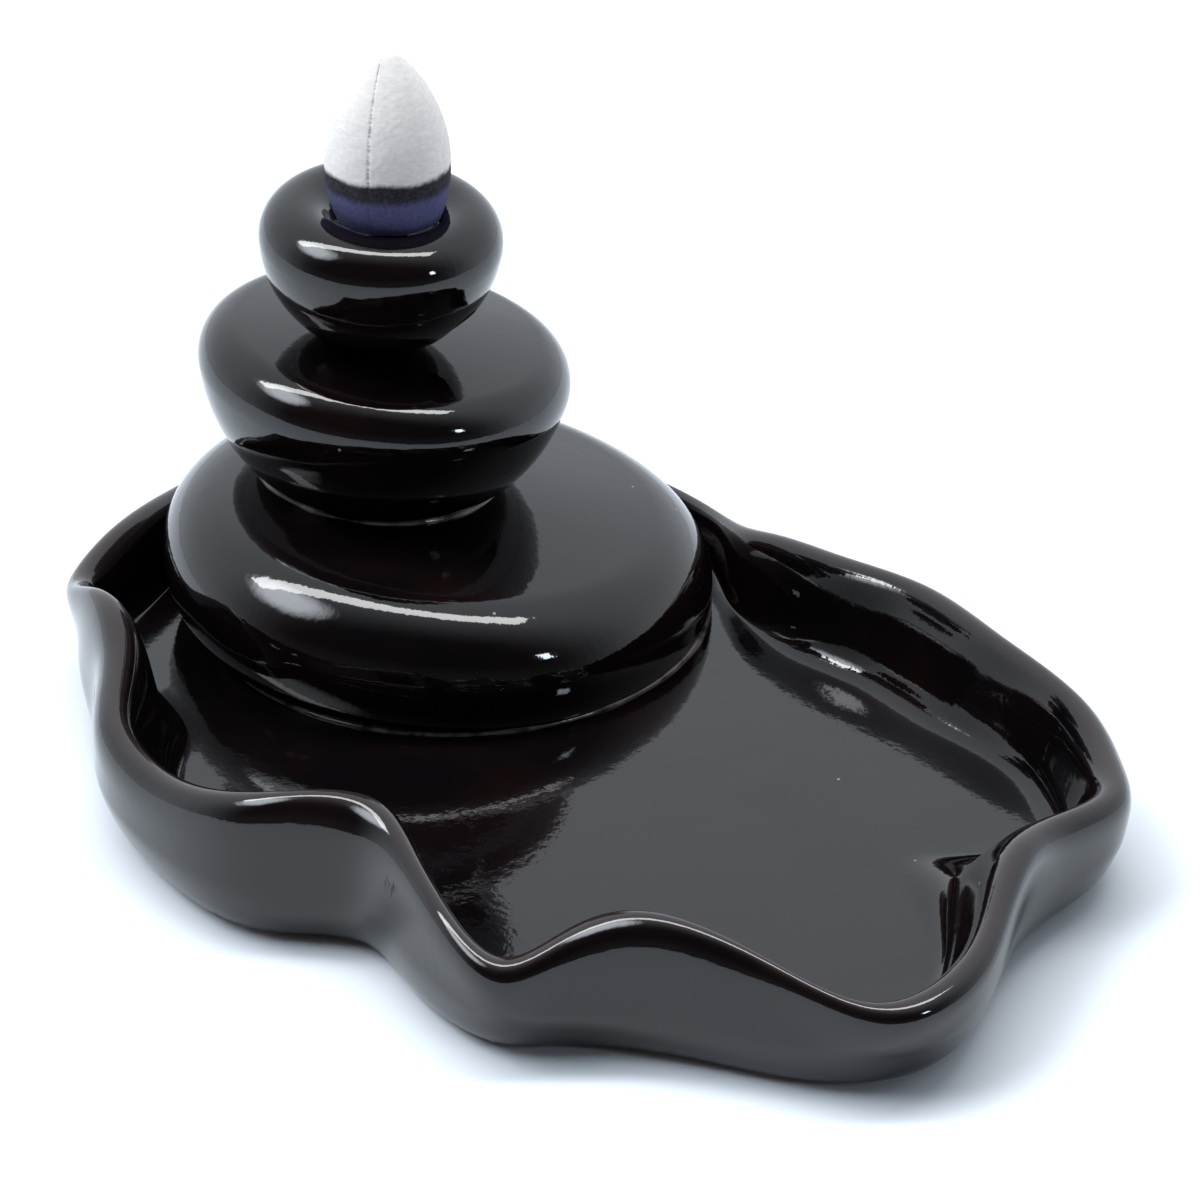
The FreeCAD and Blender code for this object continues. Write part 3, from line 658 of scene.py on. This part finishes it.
def foot_line(pebble, place, height, columns):
    """Closed line on a pebble's underside where a height function is zero, found by halving."""
    centre, turn = place
    edge, belly = pebble["edge"], pebble["belly"]
    across = pebble["girth"] - edge
    lift = centre_drop(across, belly)
    under = -math.atan2(lift, across)
    ring = unit_ring(columns)

    def at(angle):
        keel = angle < under
        out = np.where(keel, (lift + edge + belly) * np.cos(angle), across + edge * np.cos(angle))
        up = np.where(keel, lift + (lift + edge + belly) * np.sin(angle), edge * np.sin(angle))
        return np.concatenate((out[:, None] * ring, up[:, None]), -1) @ turn.T + centre

    low = np.full(columns, -math.pi / 2)
    high = np.zeros(columns)
    for _ in range(HALVINGS):
        middle = (low + high) / 2
        above = height(at(middle)) > 0
        high = np.where(above, middle, high)
        low = np.where(above, low, middle)
    return at(high)


def bead_surface(line, radius, seed, sides=BEAD_SIDES):
    """Round bead along a closed line: a circle across it, swelling and thinning by seeded waves."""
    ahead = np.roll(line, -1, axis=0) - np.roll(line, 1, axis=0)
    ahead /= np.linalg.norm(ahead, axis=1)[:, None]
    outward = np.cross(ahead, (0.0, 0.0, 1.0))
    outward /= np.linalg.norm(outward, axis=1)[:, None]
    upward = np.cross(outward, ahead)
    around = np.linspace(0, 2 * math.pi, sides, endpoint=False)[:, None, None]
    relief = waves(line, BEAD_WAVE_LENGTH, BEAD_WAVES, seed)
    swell = radius * (1 + BEAD_SWELL * relief)[:, None]
    points = line + swell * (np.cos(around) * outward + np.sin(around) * upward)
    return points.reshape(-1, 3), grid_faces(sides, len(line), True)


def cone_radius(height):
    """Radius of the cone by height: swelling base, ogive from the belt, round tip."""
    swell = CONE_RADIUS - CONE_FOOT_RADIUS
    bend = (swell ** 2 + CONE_BELT_HEIGHT ** 2) / (2 * swell)
    slim = CONE_OGIVE - CONE_RADIUS
    tip_rise = math.sqrt((CONE_OGIVE - CONE_TIP) ** 2 - slim ** 2)
    above = height - CONE_BELT_HEIGHT
    join = tip_rise * CONE_OGIVE / (CONE_OGIVE - CONE_TIP)
    base = CONE_RADIUS - bend + np.sqrt(np.maximum(bend ** 2 - above ** 2, 0))
    ogive = np.sqrt(np.maximum(CONE_OGIVE ** 2 - above ** 2, 0)) - slim
    tip = np.sqrt(np.maximum(CONE_TIP ** 2 - (above - tip_rise) ** 2, 0))
    return np.where(above < 0, base, np.where(above < join, ogive, tip))


def cone_peak():
    """Height of the cone's tip."""
    slim = CONE_OGIVE - CONE_RADIUS
    return CONE_BELT_HEIGHT + math.sqrt((CONE_OGIVE - CONE_TIP) ** 2 - slim ** 2) + CONE_TIP


def cone_slice(foot, low, high, relief, seam_depth, columns=CONE_COLUMNS):
    """Slice of the cone as a closed grid: up the outside, over the top and down the bore.

    Powder relief is the sum of coarse and fine seeded waves, and two opposite mould seams are
    narrow grooves down the outside.
    """
    peak = cone_peak()
    closed = high > peak
    thickness = min(high, peak) - low
    rows = max(CONE_FEWEST_ROWS, int(thickness / CONE_ROW_HEIGHT))
    spread = np.linspace(0, 1, rows)
    heights = low + thickness * (np.sin(spread * math.pi / 2) if closed else spread)
    outer = np.stack((cone_radius(heights), heights), -1)
    roof = CONE_BORE_DEPTH if closed else high
    inner = np.array(((CONE_BORE_RADIUS, roof), (CONE_BORE_RADIUS, low)))
    if closed:
        outer[-1, 0] = CONE_PIN_HOLE
        pin_hole = ((CONE_PIN_HOLE, peak - CONE_PIN_HOLE), (CONE_PIN_HOLE, roof))
        inner = np.concatenate((pin_hole, inner))
    profile = np.concatenate((outer, inner))
    points = spun(profile, columns)
    outside = np.zeros(len(profile))
    outside[:rows] = np.clip(outer[:, 0] / TIP_FADE_RADIUS, 0, 1)
    bearings = np.degrees(np.linspace(0, 2 * math.pi, columns, endpoint=False))
    off_seam = np.abs((bearings + SEAM_BEARING + 90) % 180 - 90)
    groove = np.exp(-((off_seam / SEAM_WIDTH) ** 2))
    bumps = sum(share * waves(points, *kind) for share, *kind in POWDER_WAVES)
    push = outside[:, None] * (relief * (bumps - 1) - seam_depth * groove)
    points[..., :2] += push[..., None] * unit_ring(columns)
    marks = {"seam": (outside[:, None] * groove).ravel()}
    return points.reshape(-1, 3) + foot, grid_faces(len(profile), columns, True), marks


class BurnerSettings(bpy.types.PropertyGroup):
    """Sizes and colours of the burner's finish."""

    glaze: bpy.props.FloatVectorProperty(
        name="Glaze", description="Thick iron glaze", subtype="COLOR", size=3,
        min=0, max=1, default=(0.0022, 0.0018, 0.0021))
    glaze_warm: bpy.props.FloatVectorProperty(
        name="Warm glaze", description="Brown clouds in the glaze", subtype="COLOR", size=3,
        min=0, max=1, default=(0.0055, 0.0026, 0.0027))
    glaze_thin: bpy.props.FloatVectorProperty(
        name="Thin glaze", description="Glaze where it breaks over the lip", subtype="COLOR",
        size=3, min=0, max=1, default=(0.021, 0.0135, 0.013))
    # Bead colour: thin-glaze brown, made light so that it also paints the joints' bright line, a
    # painted highlight.
    bead: bpy.props.FloatVectorProperty(
        name="Bead", description="Slip bead at the joints of the pebbles", subtype="COLOR",
        size=3, min=0, max=1, default=(0.16, 0.12, 0.11))
    clay: bpy.props.FloatVectorProperty(
        name="Clay", description="Bare clay under the foot", subtype="COLOR", size=3,
        min=0, max=1, default=(0.2, 0.1, 0.065))
    roughness: bpy.props.FloatProperty(
        name="Gloss roughness", description="Roughness of clean glaze", subtype="FACTOR",
        min=0, max=1, default=0.05)
    ripple: bpy.props.FloatProperty(
        name="Ripple", description="Strength of the slow ripple in the glaze", subtype="FACTOR",
        min=0, max=1, default=0.12)
    pebble_relief: bpy.props.FloatProperty(
        name="Pebble relief", description="Unevenness of the hand-pressed pebbles",
        unit="LENGTH", min=0, max=0.001, default=0.0001)
    bead_radius: bpy.props.FloatProperty(
        name="Bead radius", description="Half width of the slip beads", unit="LENGTH",
        min=0.0001, max=0.002, default=0.00042)


class ConeSettings(bpy.types.PropertyGroup):
    """Sizes and colours of the burning cone."""

    ash: bpy.props.FloatVectorProperty(
        name="Ash", description="Fresh ash", subtype="COLOR", size=3, min=0, max=1,
        default=(0.765, 0.73, 0.705))
    ash_grey: bpy.props.FloatVectorProperty(
        name="Grey ash", description="Streaks in the ash", subtype="COLOR", size=3, min=0, max=1,
        default=(0.665, 0.635, 0.615))
    char: bpy.props.FloatVectorProperty(
        name="Char", description="Burning band", subtype="COLOR", size=3, min=0, max=1,
        default=(0.018, 0.016, 0.02))
    char_pale: bpy.props.FloatVectorProperty(
        name="Pale char", description="Grains in the burning band", subtype="COLOR", size=3,
        min=0, max=1, default=(0.07, 0.065, 0.075))
    incense: bpy.props.FloatVectorProperty(
        name="Incense", description="Unburnt pressed powder", subtype="COLOR", size=3,
        min=0, max=1, default=(0.062, 0.062, 0.145))
    incense_pale: bpy.props.FloatVectorProperty(
        name="Pale incense", description="Grains of the unburnt powder", subtype="COLOR", size=3,
        min=0, max=1, default=(0.105, 0.1, 0.205))
    relief: bpy.props.FloatProperty(
        name="Powder relief", description="Height of the lumps in the powder", unit="LENGTH",
        min=0, max=0.0005, default=0.00003)
    seam_depth: bpy.props.FloatProperty(
        name="Seam depth", description="Depth of the mould seams", unit="LENGTH",
        min=0, max=0.0005, default=0.00008)


class StageSettings(bpy.types.PropertyGroup):
    """Table, lights and camera."""

    floor_tone: bpy.props.FloatProperty(
        name="Table tone", description="Lightness of the table", subtype="FACTOR",
        min=0, max=1, default=0.9)
    azimuth: bpy.props.FloatProperty(
        name="Azimuth", description="Turn of the camera round the burner", subtype="ANGLE",
        default=math.radians(50))
    elevation: bpy.props.FloatProperty(
        name="Elevation", description="Height of the camera over the table", subtype="ANGLE",
        default=math.radians(29))
    distance: bpy.props.FloatProperty(
        name="Distance", description="Camera to the middle of the burner", unit="LENGTH",
        min=0.1, max=5, default=0.45)
    lens: bpy.props.FloatProperty(
        name="Lens", description="Focal length in millimetres on a 36 mm sensor",
        min=10, max=400, default=128.6)
    lamp_power: bpy.props.FloatProperty(
        name="Lamp power", description="Power of the long lamp overhead, in watts",
        min=0, max=500, default=10)
    window_glow: bpy.props.FloatProperty(
        name="Window glow", description="Strength of the soft skylight on the left",
        min=0, max=100, default=9)


class BURNER_OT_dish(bpy.types.Operator):
    """Leaf dish with its rolled lip, floor and kiln vent"""

    bl_idname = "burner.dish"
    bl_label = "Leaf dish"

    def execute(self, context):
        points, faces, marks = leaf_surface(DISH_COLUMNS, DISH_SPAN_ROWS)
        glaze = glaze_finish(context.scene.burner)
        stand_for(new_piece("leaf_dish", points, [faces], marks, glaze), "burner", "dish")
        return {"FINISHED"}


class BURNER_OT_pebbles(bpy.types.Operator):
    """Three stacked pebbles, the top one with its dish, flue and outlet"""

    bl_idname = "burner.pebbles"
    bl_label = "Pebbles"

    def execute(self, context):
        settings = context.scene.burner
        glaze = bpy.data.materials["tenmoku_glaze"]
        relief = settings.pebble_relief / MM
        lower, middle, _ = pebble_places()
        floor = (np.array((0.0, 0.0, FLOOR_HEIGHT)), np.array((0.0, 0.0, 1.0)))
        axis = lower[1][:, 2]
        crown = lower[0] + axis * (LOWER["edge"] + LOWER["dome"] - MIDDLE_SEAT)
        for name, pebble, place, sole, seed in (
                ("lower", LOWER, lower, floor, PEBBLE_SEEDS[0]),
                ("middle", MIDDLE, middle, (crown, axis), PEBBLE_SEEDS[1])):
            points, faces = pebble_surface(pebble, place, sole, relief, seed)
            piece = new_piece(name + "_pebble", points, faces, {}, glaze)
            stand_for(piece, "burner", name + "_stone")
        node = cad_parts["top_stone"]
        node.data.materials.clear()
        node.data.materials.append(glaze)
        return {"FINISHED"}


class BURNER_OT_beads(bpy.types.Operator):
    """Slip beads round the foot of each pebble"""

    bl_idname = "burner.beads"
    bl_label = "Slip beads"

    def execute(self, context):
        settings = context.scene.burner
        finish = bead_and_painted_highlight_finish(settings)
        radius = settings.bead_radius / MM
        lower, middle, top = pebble_places()
        lines = {
            "base": foot_line(LOWER, lower, lambda points: points[:, 2] - FLOOR_HEIGHT,
                              BASE_BEAD_COLUMNS),
            "lower_neck": foot_line(MIDDLE, middle,
                                    lambda points: crown_height(LOWER, lower, points),
                                    LOWER_BEAD_COLUMNS),
            "upper_neck": foot_line(TOP, top,
                                    lambda points: crown_height(MIDDLE, middle, points),
                                    UPPER_BEAD_COLUMNS),
        }
        for seed, (name, line) in enumerate(lines.items(), FIRST_BEAD_SEED):
            points, faces = bead_surface(line, radius, seed)
            piece = new_piece(name + "_bead", points, [faces], {}, finish)
            stand_for(piece, "burner", name + "_seam")
        return {"FINISHED"}


class BURNER_OT_cone(bpy.types.Operator):
    """Incense cone: unburnt base, char band and ash, bored from below"""

    bl_idname = "burner.cone"
    bl_label = "Cone"

    def execute(self, context):
        settings = context.scene.burner_cone
        centre, turn = pebble_places()[2]
        rise = -centre_drop(TOP["girth"] - TOP["edge"], TOP["dome"])
        bowl = rise - TOP["dome"] - TOP["edge"]
        foot = centre + turn[:, 2] * rise
        foot[2] += CONE_GAP - math.sqrt(bowl ** 2 - CONE_FOOT_RADIUS ** 2)
        finish = cone_finish(settings, foot[2] * MM)
        for name, slot, low, high in (
                ("base", "incense", 0.0, CONE_BASE_HEIGHT),
                ("char", "char", CONE_BASE_HEIGHT, CONE_BELT_HEIGHT),
                ("ash", "ash", CONE_BELT_HEIGHT, math.inf)):
            points, faces, marks = cone_slice(foot, low, high, settings.relief / MM,
                                              settings.seam_depth / MM)
            piece = new_piece("cone_" + name + "_slice", points, [faces], marks, finish)
            stand_for(piece, "cone", "cone_" + name)
        return {"FINISHED"}


class BURNER_OT_stage(bpy.types.Operator):
    """Pale table, soft studio light and the camera"""

    bl_idname = "burner.stage"
    bl_label = "Stage"

    def execute(self, context):
        scene = context.scene
        settings = scene.burner_stage
        side = TABLE_SIDE
        mesh = bpy.data.meshes.new("table")
        mesh.from_pydata([(-side, -side, 0), (side, -side, 0), (side, side, 0), (-side, side, 0)],
                         [], [(0, 1, 2, 3)])
        mesh.materials.append(table_finish(settings))
        table = bpy.data.objects.new("table", mesh)
        table.location.z = -TABLE_DROP
        scene.collection.objects.link(table)

        target = Vector(CAMERA_TARGET) * MM
        turn, lift = settings.azimuth, settings.elevation
        back = Vector((math.sin(turn) * math.cos(lift), -math.cos(turn) * math.cos(lift),
                       math.sin(lift)))
        camera = bpy.data.objects.new("camera", bpy.data.cameras.new("camera"))
        camera.data.lens = settings.lens
        camera.data.sensor_width = CAMERA_SENSOR
        camera.location = target + back * settings.distance
        camera.rotation_euler = (-back).to_track_quat("-Z", "Y").to_euler()
        camera.data.clip_start = CAMERA_NEAR
        scene.collection.objects.link(camera)
        scene.camera = camera

        right = Vector((math.cos(turn), math.sin(turn), 0.0))
        away = Vector((-math.sin(turn), math.cos(turn), 0.0))
        up = Vector((0.0, 0.0, 1.0))

        def spot(place):
            return up * place[0] + right * place[1] + away * place[2]

        for name, (place, size), power, tint in (
                ("long_lamp", LONG_LAMP, settings.lamp_power, WHITE[:3]),
                ("right_window", RIGHT_WINDOW, RIGHT_WINDOW_POWER, RIGHT_WINDOW_TINT)):
            light = bpy.data.lights.new(name, "AREA")
            light.shape = "RECTANGLE"
            light.size, light.size_y = size
            light.energy = power
            light.color = tint
            lamp = bpy.data.objects.new(name, light)
            lamp.location = spot(place)
            lamp.rotation_euler = (target - spot(place)).to_track_quat("-Z", "Y").to_euler()
            scene.collection.objects.link(lamp)
        scene.collection.objects["long_lamp"].rotation_euler = (0.0, 0.0, turn)

        world = bpy.data.worlds.new("studio")
        scene.world = world
        tree = Tree(world)
        aim = tree.node("ShaderNodeTexCoord", {}, {}, "Generated")

        def towards(way):
            return tree.node("ShaderNodeVectorMath", {"operation": "DOT_PRODUCT"},
                             {0: aim, 1: tuple(way)}, "Value")

        facing = towards(away)
        seen = tree.node("ShaderNodeLightPath", {}, {}, "Is Camera Ray")
        upward = tree.node("ShaderNodeSeparateXYZ", {}, {"Vector": aim}, "Z")
        ground = 1 - upward.step(0.0, 0.4)
        room = ROOM_DIM + facing.step(-0.6, 0.3) * ROOM_BACK + ground * ROOM_GROUND
        edge, core = (math.cos(angle) for angle in SKYLIGHT_ANGLES)
        glow = towards(spot(SKYLIGHT).normalized()).step(edge, core)
        strength = (room + glow * settings.window_glow) * (1 - seen) + seen
        sky = tree.mix(seen, ROOM_TINT, WHITE)
        shade = tree.node("ShaderNodeBackground", {}, {"Color": sky, "Strength": strength})
        tree.node("ShaderNodeOutputWorld", {}, {"Surface": shade})
        scene.view_settings.view_transform = "Standard"
        return {"FINISHED"}


class BURNER_PT_panel(bpy.types.Panel):
    """Builds the burner piece by piece"""

    bl_idname = "BURNER_PT_panel"
    bl_label = "Incense burner"
    bl_space_type = "VIEW_3D"
    bl_region_type = "UI"
    bl_category = "Burner"

    def draw(self, context):
        for operator in OPERATORS:
            self.layout.operator(operator.bl_idname)
        for settings in (context.scene.burner, context.scene.burner_cone,
                         context.scene.burner_stage):
            for name in settings.bl_rna.properties.keys():
                if name not in {"rna_type", "name"}:
                    self.layout.prop(settings, name)


OPERATORS = (BURNER_OT_dish, BURNER_OT_pebbles, BURNER_OT_beads, BURNER_OT_cone, BURNER_OT_stage)
CLASSES = (BurnerSettings, ConeSettings, StageSettings, *OPERATORS, BURNER_PT_panel)


def register():
    """Add the classes and the scene's settings."""
    for item in CLASSES:
        bpy.utils.register_class(item)
    bpy.types.Scene.burner = bpy.props.PointerProperty(type=BurnerSettings)
    bpy.types.Scene.burner_cone = bpy.props.PointerProperty(type=ConeSettings)
    bpy.types.Scene.burner_stage = bpy.props.PointerProperty(type=StageSettings)


def unregister():
    """Remove the settings and the classes."""
    del bpy.types.Scene.burner_stage
    del bpy.types.Scene.burner_cone
    del bpy.types.Scene.burner
    for item in reversed(CLASSES):
        bpy.utils.unregister_class(item)


def main():
    """Register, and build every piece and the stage."""
    register()
    bpy.ops.burner.dish()
    bpy.ops.burner.pebbles()
    bpy.ops.burner.beads()
    bpy.ops.burner.cone()
    bpy.ops.burner.stage()


if __name__ == "__main__":
    main()
